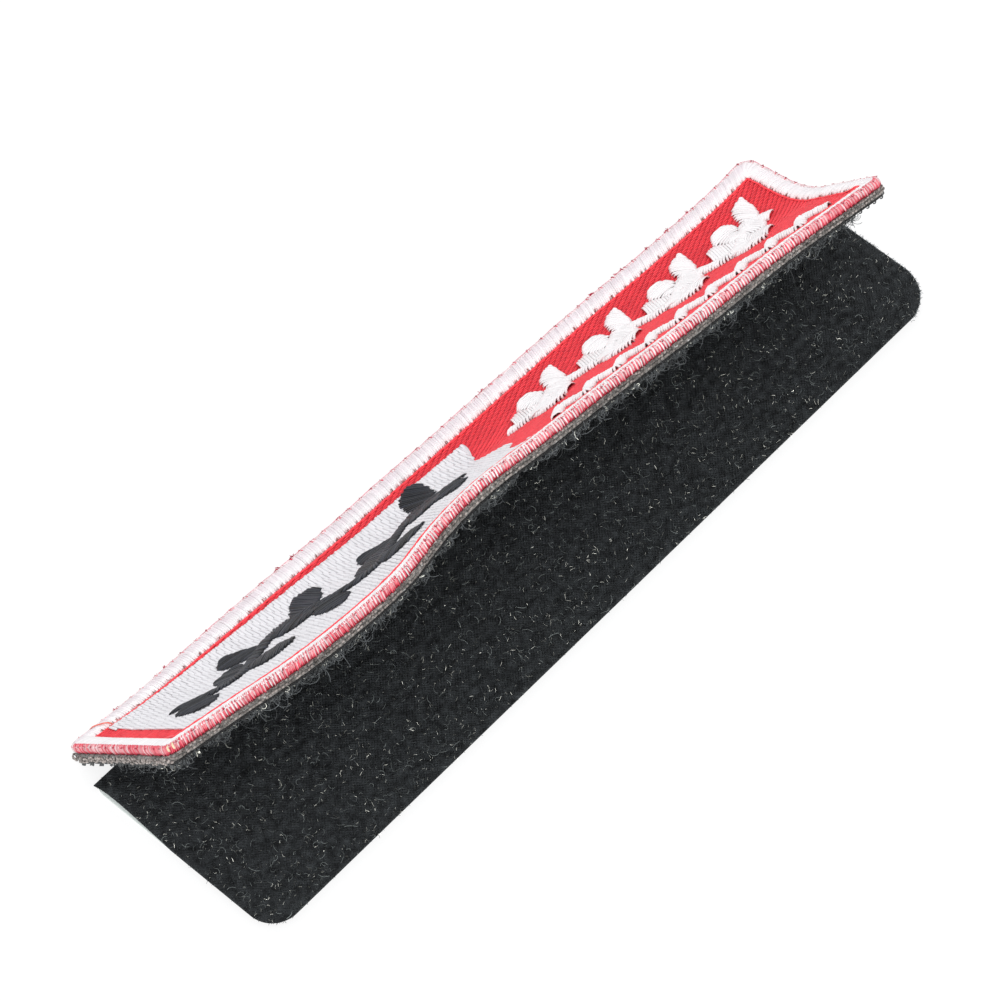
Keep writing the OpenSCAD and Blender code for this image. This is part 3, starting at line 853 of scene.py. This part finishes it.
def border_tufts():
    """Tufts of cut red fibre along the outer edge: small ones at the needle holes and a few long ones."""
    random = np.random.default_rng(13)
    small = np.repeat(TUFTS, 8)
    large = np.repeat(random.uniform(8, PATCH_LEN - 10, 12), 10)
    s = np.concatenate([small, large]) + random.normal(0, 0.13, len(small) + len(large))
    length = np.concatenate([random.uniform(0.1, 0.26, len(small)), random.uniform(0.2, 0.5, len(large))])
    u, v = across_border(s, -0.05)
    roots = face_point(u, v, -0.26)
    outward = out_of_wall(roots, s, 0.0, -0.26)
    heading = unit(outward + 0.3 * face_normal(u, v) + 0.5 * random.normal(size=roots.shape))
    axis = square_axis(heading, random)
    paths, ups = curls(roots, heading, axis, length, random.uniform(0.3, 1.6, len(s)), 4)
    return threads("border_tufts", paths, ups, 0.045, 0.045, THREE_SIDED, RED_FIBRE, "red_twill",
                   tone=random.uniform(0, 1, len(s)))


def loose_stitches():
    """One coral stitch that strays over the border by the far left corner, and two cream ones on the wall by
    the near left corner."""
    over = np.array([[-0.1, 0.1, 0.13, 0.12, 0.1, 0.0, -0.3]])
    paths, ups = on_face(np.linspace(3.3, 5.1, 7)[None], np.linspace(0.1, 2.9, 7)[None], over)
    coral = threads("stray_stitch", paths, ups, 0.13, 0.06, LYING, CORAL_THREAD, "red_twill", tone=[0.5])
    s = np.repeat(PERIMETER - PATCH_W + 1.4 - np.array([[0.0], [0.65]]), 5, 1)
    level = np.linspace(-0.15, -0.9, 5)
    share = np.array([0.05, -0.06, -0.1, -0.1, -0.05])
    u, v = across_border(s, share)
    paths = face_point(u, v, level)
    ups = out_of_wall(paths, s, share, level - WALL_DROP)
    cream = threads("cream_stitches", paths, ups, 0.17, 0.1, LYING, CREAM_THREAD, "white_thread",
                    tone=[0.5, 0.7])
    return [coral, cream]


def backing_knots():
    """Knots of glued thread in two staggered rows on the grey edge of the backing; at the left end they are
    rough."""
    random = np.random.default_rng(71)
    pitch = 0.5
    count = int(PERIMETER / pitch)
    row = np.repeat([0, 1], count)
    s = (np.tile(np.arange(count), 2) + 0.5 * row) * PERIMETER / count
    s = s + random.uniform(-0.1, 0.1, 2 * count)
    length = random.uniform(0.25, 0.44, len(s))[:, None]
    t = np.array([-0.5, -0.2, 0.2, 0.5])
    at_end = across_border(s, 0.0)[0] < 0.5
    level = np.where(row == 0, BACKING_TOP - 0.22, BACKING_TOP - 0.64)
    level = (level + random.uniform(-0.08, 0.08, len(s)) * np.where(at_end, 2.4, 1.0))[:, None]
    out = 0.01 + random.uniform(0.0, 0.03, len(s)) * np.where(at_end, 3.0, 1.0) + LEFT_OUT / BORDER_W * at_end
    share = np.array([0.0, -0.045, -0.045, 0.0]) - out[:, None]
    slope = np.where(at_end, random.uniform(-1.0, 1.0, len(s)), 0.1)[:, None]
    path_s = s[:, None] + length * t
    u, v = across_border(path_s, share)
    paths = face_point(u, v, level - slope * length * t)
    ups = out_of_wall(paths, path_s, share, level)
    tone = random.uniform(0, 1, len(s)) ** 1.5 + np.where(at_end, 0.35, 0.0)
    return threads("backing_knots", paths, ups, 0.15, 0.1, SQUAT, GLUED_THREAD, "glued_backing", tone=tone)


# Motifs

# Pitch of the motifs' stitches, and half the zigzag's width square to its legs
MOTIF_PITCH = 0.4
ZIGZAG_HALF = 0.8


def branch_line(t):
    """Middle line of the black branch: two full waves along the field."""
    u = BRANCH_FROM + (BRANCH_TO - BRANCH_FROM) * t
    return np.stack([u, BRANCH_MID + BRANCH_SWING * np.sin(4 * np.pi * t)], -1)


def garland_line(t):
    """Middle line of the white garland: one wave for each flower."""
    u = GARLAND_FROM + (GARLAND_TO - GARLAND_FROM) * t
    return np.stack([u, GARLAND_MID + GARLAND_SWING * np.sin(2 * np.pi * FLOWERS * t)], -1)


def column_stitches(middle, half, pitch, slant):
    """Satin column along a (k, 2) middle line with half widths: starts and ends of stitches at an even pitch,
    square to the line but for slant."""
    walked = np.concatenate([[0], np.cumsum(np.linalg.norm(np.diff(middle, axis=0), axis=1))])
    s = np.arange(pitch / 2, walked[-1], pitch)
    along = unit(np.gradient(middle, axis=0))
    place = np.stack([np.interp(s, walked, middle[:, k]) for k in (0, 1)], -1)
    ahead = unit(np.stack([np.interp(s, walked, along[:, k]) for k in (0, 1)], -1))
    width = np.interp(s, walked, half)[:, None]
    square = np.stack([ahead[:, 1], -ahead[:, 0]], -1)
    reach = (square + slant * ahead) * width
    return place - reach, place + reach


def stitched_columns(name, columns, foot, top, spare, finish, slot, seed, replaced):
    """Satin stitches of several columns in one piece: each is an arch from foot up to top and down again, up
    to spare longer at either end than its column asks for."""
    random = np.random.default_rng(seed)
    starts = np.concatenate([c[0] for c in columns])
    ends = np.concatenate([c[1] for c in columns])
    grow = random.uniform(0.0, spare, (2, len(starts), 1))
    reach = unit(ends - starts)
    starts, ends = starts - grow[0] * reach, ends + grow[1] * reach
    t = np.array([0.0, 0.08, 0.3, 0.7, 0.92, 1.0])
    place = starts[:, None] + (ends - starts)[:, None] * t[:, None]
    arch = np.array([0.0, 0.6, 1.0, 1.0, 0.6, 0.0])
    level = foot + (top - foot) * arch + random.uniform(-0.04, 0.04, len(starts))[:, None]
    paths, ups = on_face(place[..., 0], place[..., 1], level)
    width = 0.56 * MOTIF_PITCH * random.uniform(0.85, 1.12, len(starts))[:, None]
    piece = threads(name, paths, ups, width, 0.12, LYING, finish, slot,
                    tone=random.uniform(0, 1, len(starts)))
    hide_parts(replaced)
    return piece


def leaf_columns(line, places, length, width):
    """Stitches of the leaves that grow from a stem at places along its line, by turns to either side. A leaf
    is widest at its middle, and its stitches lean toward its tip."""
    t = np.linspace(0, 1, 15)
    half = width / 2 * (0.12 + 0.88 * np.sin(np.pi * t))
    columns = []
    for k, place in enumerate(places):
        ahead = line(place + 0.01) - line(place)
        angle = math.atan2(ahead[1], ahead[0]) + (LEAF_ANGLE if k % 2 == 0 else -LEAF_ANGLE)
        middle = line(place) + length * t[:, None] * np.array([math.cos(angle), math.sin(angle)])
        columns.append(column_stitches(middle, half, MOTIF_PITCH, 0.35))
    return columns


def black_branch_stitches():
    """Stem and leaves of the black branch in satin stitch."""
    t = np.linspace(0, 1, 120)
    columns = [column_stitches(branch_line(t), np.full(120, BRANCH_HALF), MOTIF_PITCH, 0.5)]
    places = (np.arange(BRANCH_LEAVES) + 0.4) / BRANCH_LEAVES
    columns += leaf_columns(branch_line, places, LEAF_LEN, LEAF_W)
    return stitched_columns("black_branch_stitches", columns, STITCH_TOP, STITCH_TOP + 0.2, 0.4, BLACK_SATIN,
                            "black_thread", 21, "black_branch")


def petal_columns(centre):
    """Stitches of one flower: its petals run from the open eye to a round tip, and each fills its share of
    the turn as far as it goes."""
    shoulder = 0.62 * FLOWER_R
    reach = np.linspace(FLOWER_EYE_R, FLOWER_R, 20)
    past = np.clip((reach - shoulder) / (FLOWER_R - shoulder), 0, 1)
    spread = math.tan(math.pi / PETALS)
    half = 0.95 * np.minimum(reach, shoulder) * spread * np.sqrt(1 - 0.93 * past ** 2)
    columns = []
    for k in range(PETALS):
        angle = FLOWER_TURN + (2 * k + 1) * math.pi / PETALS
        middle = centre + reach[:, None] * np.array([math.cos(angle), math.sin(angle)])
        columns.append(column_stitches(middle, half, MOTIF_PITCH, 0.0))
    return columns


def white_garland_stitches():
    """Stem, flowers and leaves of the white garland in satin stitch."""
    t = np.linspace(0, 1, 120)
    columns = [column_stitches(garland_line(t), np.full(120, GARLAND_HALF), MOTIF_PITCH, 0.5)]
    places = (np.arange(2 * FLOWERS) + 0.5) / (2 * FLOWERS)
    columns += leaf_columns(garland_line, places, SPRIG_LEN, SPRIG_W)
    for k in range(FLOWERS):
        columns += petal_columns(garland_line((k + 0.5) / FLOWERS))
    return stitched_columns("white_garland_stitches", columns, TWILL_TOP, MOTIF_TOP, 0.2, WHITE_SATIN,
                            "white_thread", 22, "white_garland")


def white_zigzag_stitches():
    """Zigzag row in satin stitch."""
    number = np.arange(ZIGZAG_POINTS)
    u = GARLAND_FROM + (GARLAND_TO - GARLAND_FROM) * number / (ZIGZAG_POINTS - 1)
    corners = np.stack([u, ZIGZAG_MID + ZIGZAG_RISE * np.where(number % 2 == 0, 1, -1)], -1)
    fine = np.linspace(0, ZIGZAG_POINTS - 1, 8 * (ZIGZAG_POINTS - 1) + 1)
    middle = np.stack([np.interp(fine, number, corners[:, k]) for k in (0, 1)], -1)
    columns = [column_stitches(middle, np.full(len(middle), ZIGZAG_HALF), MOTIF_PITCH, 0.0)]
    return stitched_columns("white_zigzag_stitches", columns, TWILL_TOP, MOTIF_TOP, 0.2, WHITE_SATIN,
                            "white_thread", 23, "white_zigzag")


# Hook tape and torn loops

def tape_hooks():
    """Hooks under the tape in rows: each leans out and curls back on itself. A close row stands along the
    left end."""
    random = np.random.default_rng(41)
    pitch, row_pitch, end_pitch = 1.35, 1.56, 0.55
    rows = np.arange(0.5, PATCH_W - 0.1, row_pitch)
    u, v = (a.ravel() for a in np.meshgrid(np.arange(0.7, PATCH_LEN - 0.3, pitch), rows))
    end_v = np.arange(0.6, PATCH_W - 0.3, end_pitch)
    u, v = np.concatenate([u, np.full(len(end_v), -0.3)]), np.concatenate([v, end_v])
    u = u + random.uniform(-0.08, 0.08, len(u))
    v = v + random.uniform(-0.08, 0.08, len(u))
    roots = face_point(u, v, TAPE_FOOT + 0.05)
    down = -face_normal(u, v)
    along = unit(face_point(u + 0.1, v, 0.0) - face_point(u - 0.1, v, 0.0))
    side = np.where(np.round(v / row_pitch) % 2 == 0, 1.0, -1.0)[:, None]
    axis = unit(np.cross(down, along * side))
    length, turn, half_w = np.where(u < 0, [[0.5], [70], [0.2]], [[0.75], [150], [0.14]])
    paths, ups = curls(roots, down, axis, length, np.radians(turn), 5)
    return threads("tape_hooks", paths, ups, half_w[:, None] * np.array([1.2, 1, 1, 0.9, 0.6]), 0.1,
                   THREE_SIDED, HOOK_PLASTIC, "hook_tape", tone=random.uniform(0, 1, len(u)))


def torn_loops(name, seed, count, length, half_w, finish):
    """Loops that tore out of the pile and hang on the hooks in clumps along the near edge and the left end;
    length is their mean."""
    clumps, least_height = 260, 2.2
    random = np.random.default_rng(seed)
    clump = random.integers(0, clumps, count)
    clump_u = np.random.default_rng(44).uniform(0.6, 118.5, clumps)
    clump_v = PATCH_W - 0.3 - np.abs(np.random.default_rng(45).normal(0, 1.6, clumps))
    u = clump_u[clump] + random.normal(0, 0.2, count)
    v = np.minimum(clump_v[clump] + random.normal(0, 0.3, count), PATCH_W - 0.15)
    at_end = random.uniform(0, 1, count) < 0.06
    u = np.where(at_end, 0.1 + np.abs(random.normal(0, 0.5, count)), np.clip(u, 0.4, 119))
    v = np.where(at_end, random.uniform(10, PATCH_W - 0.5, count), v)
    roots = face_point(u, v, TAPE_FOOT + 0.07 - random.uniform(0.0, 0.5, count))
    outward = unit(face_point(u, v + 0.1, 0.0) - face_point(u, v - 0.1, 0.0))
    heading = unit(-face_normal(u, v) * 0.9 + outward * random.uniform(-0.2, 0.4, (count, 1))
                   + np.array([0, 0, -0.5]) + 0.5 * random.normal(size=(count, 3)))
    paths, ups = curls(roots, heading, square_axis(heading, random), random.gamma(5.0, length / 5, count),
                       random.uniform(1.5, 6.5, count), 6)
    paths[..., 2] = np.maximum(paths[..., 2], least_height)
    return threads(name, paths, ups, half_w, half_w, THREE_SIDED, finish, "loop_pile",
                   tone=random.uniform(0, 1, count))


# Loop panel

PANEL_LOW, PANEL_HIGH = (np.array(c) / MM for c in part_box("loop_panel"))
PANEL_R = {"near_left": 4.0, "near_right": 6.2, "far": 0.25}
PILE_TOP = PANEL_HIGH[2]
FOOT_IN = 0.9
FOOT_SHARE = 1 - 2 * np.array([FOOT_IN, FOOT_IN, 0.0]) / (PANEL_HIGH - PANEL_LOW)
FILM_OUT = 0.2
FILM_SHOWN = 0.5
FILM_SHOWN_LEN = 14.0


def panel_reach(y, film_shown=0.0):
    """Left and right ends of the panel at distances y, drawn in at its round corners. The left end bows in by
    film_shown on its far half, where the film under it shows: half a sine wave, steepest at the corner."""
    from_near, from_far = y - PANEL_LOW[1], PANEL_HIGH[1] - y
    far = corner_in(from_far, PANEL_R["far"])
    bow = film_shown * np.sin(np.pi * np.clip(from_far / FILM_SHOWN_LEN, 0, 1) ** 0.5)
    left = PANEL_LOW[0] + corner_in(from_near, PANEL_R["near_left"]) + far + bow
    right = PANEL_HIGH[0] - corner_in(from_near, PANEL_R["near_right"]) - far
    return left, right


def pile_bed():
    """Bed of the loop pile: a plate whose top is lumpy and rounds off close to the edges. It stands out over
    its foot, as brushed pile does over the cut edge of its cloth."""
    y = np.linspace(PANEL_LOW[1], PANEL_HIGH[1], 78)
    edges = np.array([0.03, 0.12])
    y = np.sort(np.concatenate([y, PANEL_LOW[1] + edges, PANEL_HIGH[1] - edges]))
    left, right = panel_reach(y, FILM_SHOWN)
    t = np.sort(np.concatenate([np.linspace(0, 1, 280), [0.0005, 0.9995]]))
    x = left[:, None] + (right - left)[:, None] * t
    y = np.broadcast_to(y[:, None], x.shape)
    rim = np.minimum(np.minimum(x - left[:, None], right[:, None] - x),
                     np.minimum(y - PANEL_LOW[1], PANEL_HIGH[1] - y))
    lumps = 0.22 * ripples(x, y, 1.4, 51) + 0.14 * ripples(x, y, 3.0, 53)
    z = PILE_TOP - 0.28 + lumps * np.clip(rim / 0.4, 0, 1) - 0.15 * np.exp(-rim / 0.1)
    upper = np.stack([x, y, z], -1)
    foot = upper * FOOT_SHARE
    foot[..., 2] = PANEL_LOW[2]
    points, faces = plate(upper, foot)
    piece = new_piece("pile_bed", points, faces, PILE_BED, "loop_pile",
                      along=points[:, 0], across=points[:, 1])
    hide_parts("loop_panel")
    return piece


def release_film():
    """Film under the panel, set in under the pile but for its left end, where it stands out a little."""
    y = np.linspace(PANEL_LOW[1], PANEL_HIGH[1], 40)
    left, right = panel_reach(y)
    x = left[:, None] + (right - left)[:, None] * np.linspace(0, 1, 12)
    at_left = (np.arange(12) == 0) & (y[:, None] > 0)
    x = x * FOOT_SHARE[0] - FILM_OUT * at_left
    y = y[:, None] * np.where(at_left, 1.0, FOOT_SHARE[1])
    low, high = (np.stack([x, y, np.full(x.shape, c[2] / MM)], -1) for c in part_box("panel_film"))
    points, faces = slab(high, low)
    piece = new_piece("release_film", points, faces, FILM, "release_film")
    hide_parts("panel_film")
    return piece


def inside_panel(random, count, setback):
    """Random points on the panel, at least setback from its edge."""
    x = random.uniform(PANEL_LOW[0] + setback, PANEL_HIGH[0] - setback, 2 * count)
    y = random.uniform(PANEL_LOW[1] + setback, PANEL_HIGH[1] - setback, 2 * count)
    left, right = panel_reach(y, FILM_SHOWN)
    kept = (x > left + setback) & (x < right - setback)
    return x[kept][:count], y[kept][:count]


def pile_fibres(name, seed, count, steps, length, turn, half_w, lean, finish):
    """Fibres that stand in the bed, lean any way and curl over; length and turn are (least, most). They grow
    lighter and darker in patches, and few of them have a high tone."""
    random = np.random.default_rng(seed)
    x, y = inside_panel(random, count, 0.1)
    roots = np.stack([x, y, np.full(len(x), PILE_TOP - 0.42)], -1)
    heading = unit(np.array([0, 0, 1.0]) + lean * random.normal(size=roots.shape) * [1, 1, 0.2])
    paths, ups = curls(roots, heading, square_axis(heading, random), random.uniform(*length, len(x)),
                       random.uniform(*turn, len(x)), steps)
    tone = random.uniform(0, 1, len(x)) ** 2 * (1 + 0.5 * ripples(x, y, 7.0, 54))
    thick = half_w * np.linspace(1, 0.5, steps)
    return threads(name, paths, ups, thick, thick, THREE_SIDED, finish, "loop_pile", tone=tone)


def pile_curls():
    """Long fibres that lie on the pile in loose curls."""
    random = np.random.default_rng(64)
    x, y = inside_panel(random, 2900, 0.5)
    count = len(x)
    roots = np.stack([x, y, PILE_TOP - random.uniform(0.05, 0.25, count)], -1)
    angle = random.uniform(0, 2 * np.pi, count)
    heading = unit(np.stack([np.cos(angle), np.sin(angle), random.uniform(-0.1, 0.3, count)], -1))
    axis = unit(np.array([0, 0, 1.0]) + 0.35 * random.normal(size=roots.shape))
    axis = unit(axis - (axis * heading).sum(-1, keepdims=True) * heading)
    turn = random.choice([-1.0, 1.0], count) * random.uniform(0.6, 3.2, count)
    paths, ups = curls(roots, heading, axis, random.uniform(0.5, 1.7, count), turn, 5)
    paths[..., 1] = np.clip(paths[..., 1], PANEL_LOW[1] + 0.05, PANEL_HIGH[1] - 0.05)
    paths[..., 2] = np.clip(paths[..., 2], PILE_TOP - 0.4, PILE_TOP + 0.12)
    return threads("pile_curls", paths, ups, 0.027, 0.027, THREE_SIDED, CURL_FIBRE, "loop_pile",
                   tone=random.uniform(0, 1, count) ** 2)


def panel_fringe():
    """Short fibres that stick out round the panel's edge, most of them at its right end."""
    random = np.random.default_rng(63)
    count = 3500
    side = random.choice(4, count, p=[0.30, 0.25, 0.12, 0.33])
    t = random.uniform(0, 1, count)
    y = np.select([side == 0, side == 1], [PANEL_LOW[1], PANEL_HIGH[1]],
                  PANEL_LOW[1] + t * (PANEL_HIGH[1] - PANEL_LOW[1]))
    left, right = panel_reach(np.clip(y, PANEL_LOW[1] + 0.02, PANEL_HIGH[1] - 0.02), FILM_SHOWN)
    x = np.select([side < 2, side == 2], [left + t * (right - left), left], right)
    outward = np.array([[0, -1.0, 0], [0, 1.0, 0], [-1.0, 0, 0], [1.0, 0, 0]])[side]
    drop = random.uniform(0, 1, count) ** 2
    z = PILE_TOP - 0.35 - drop * (PILE_TOP - PANEL_LOW[2] - 0.5)
    roots = np.stack([x, y, z], -1) - (0.2 + 0.8 * FOOT_IN * drop)[:, None] * outward
    heading = unit(0.6 * outward + [0, 0, 0.6] + 0.5 * random.normal(size=(count, 3)))
    length = random.uniform(0.15, 0.4, count) * np.where(side == 3, 1.5, 1.0)
    axis = square_axis(heading, random)
    paths, ups = curls(roots, heading, axis, length, random.uniform(0.3, 2.0, count), 3)
    tone = random.uniform(0.2, 1, count) + np.where(side == 3, random.uniform(0, 1, count) ** 2 * 3, 0)
    return threads("panel_fringe", paths, ups, 0.032, 0.032, THREE_SIDED, PILE_FIBRE, "loop_pile", tone=tone)


# Stage

def place_camera():
    """Camera at the photo's angle: from the near left, above the panel."""
    azimuth, elevation = math.radians(48.09), math.radians(57.62)
    distance, focal_px, image_px = 654.9, 5000.0, 1001
    aim = Vector((2.01, 6.79, 0.0))
    ahead = Vector((math.sin(azimuth) * math.cos(elevation), math.cos(azimuth) * math.cos(elevation),
                    -math.sin(elevation)))
    data = bpy.data.cameras.new("photo_camera")
    data.sensor_width = 36.0
    data.lens = data.sensor_width * focal_px / image_px
    data.clip_start = 0.01
    camera = bpy.data.objects.new("photo_camera", data)
    camera.location = (aim - ahead * distance) * MM
    camera.rotation_euler = ahead.to_track_quat("-Z", "Y").to_euler()
    bpy.context.scene.collection.objects.link(camera)
    bpy.context.scene.camera = camera


def softbox(name, azimuth, elevation, distance, size, power):
    """Square area light that looks at the patch from an azimuth and elevation in degrees; azimuth 0 stands on
    the near side."""
    a, e = math.radians(azimuth), math.radians(elevation)
    back = Vector((math.sin(a) * math.cos(e), -math.cos(a) * math.cos(e), math.sin(e)))
    data = bpy.data.lights.new(name, "AREA")
    data.size = size
    data.energy = power
    light = bpy.data.objects.new(name, data)
    light.location = back * distance
    light.rotation_euler = (-back).to_track_quat("-Z", "Y").to_euler()
    bpy.context.scene.collection.objects.link(light)


def build_stage():
    """Pale floor, lit from below like a light table, white surroundings and soft boxes."""
    reach, level = 3.0, -0.00002
    corners = [(-reach, -reach, level), (reach, -reach, level), (reach, reach, level), (-reach, reach, level)]
    mesh = bpy.data.meshes.new("floor")
    mesh.from_pydata(corners, [], [(0, 1, 2, 3)])
    finish, nodes, links, shader = new_finish(
        "light_table", Roughness=0.9, Specular_IOR_Level=0.1, Emission_Color=(1, 1, 1, 1),
        Emission_Strength=0.82)
    glass = mixed(nodes, links, noise_node(nodes, links, 30), (0.21, 0.21, 0.21), (0.22, 0.22, 0.22))
    links.new(glass, shader.inputs["Base Color"])
    mesh.materials.append(finish)
    floor = bpy.data.objects.new("floor", mesh)
    bpy.context.scene.collection.objects.link(floor)
    world = bpy.data.worlds.new("white_surroundings")
    world.use_nodes = True
    world.node_tree.nodes["Background"].inputs["Color"].default_value = (0.97, 0.98, 1.0, 1)
    world.node_tree.nodes["Background"].inputs["Strength"].default_value = 0.74
    bpy.context.scene.world = world
    softbox("key_box", -40, 62, 0.9, 0.6, 3.4)
    softbox("far_box", 160, 50, 1.0, 0.8, 1.4)
    bpy.context.scene.view_settings.view_transform = "Standard"


place_camera()
build_stage()

twill = patch_layer("twill_cloth", BORDER_W + 0.1, (TWILL_FOOT, TWILL_TOP - 0.06), (INNER_R, INNER_R), 0.0,
                    TWILL_GROUND, "red_twill", "twill_ground", steps=120)
backing = patch_layer("glued_backing", 0.0, (BACKING_FOOT, BACKING_TOP), (LEFT_R, RIGHT_R), 0.1,
                      GLUED, "glued_backing", "backing_layer", left_out=LEFT_OUT)
tape = patch_layer("hook_tape_cloth", 0.08, (TAPE_FOOT, TAPE_TOP), (LEFT_R, RIGHT_R), 0.05,
                   TAPE_CLOTH, "hook_tape", "hook_tape", left_out=LEFT_OUT)
stitching = [white_field_ground(), white_field_stitches(), twill_yarns(), border_padding(), border_satin(),
             border_notches(), border_overcast(), border_piping(), inner_cord(), border_tufts(),
             *loose_stitches(), black_branch_stitches(), white_garland_stitches(), white_zigzag_stitches()]
knots = backing_knots()
hooks = tape_hooks()
loops = [torn_loops("torn_loops", 42, 3500, 1.5, 0.034, TORN_FIBRE),
         # torn_loop_glints: near-white fibres that stand for glints on the torn loops, painted highlights.
         torn_loops("torn_loop_glints", 43, 420, 0.9, 0.036, GLINT_FIBRE)]
bed = pile_bed()
film = release_film()
pile = [
    pile_fibres("pile_fibres", 61, 8000, 3, (0.5, 0.9), (0.4, 1.8), 0.042, 0.8, PILE_FIBRE),
    # pile_glints: near-white fibres that stand for glints on the dark pile, painted highlights.
    pile_fibres("pile_glints", 62, 4000, 3, (0.5, 0.8), (0.4, 1.5), 0.03, 1.2, GLINT_FIBRE),
    pile_curls(),
    panel_fringe(),
]
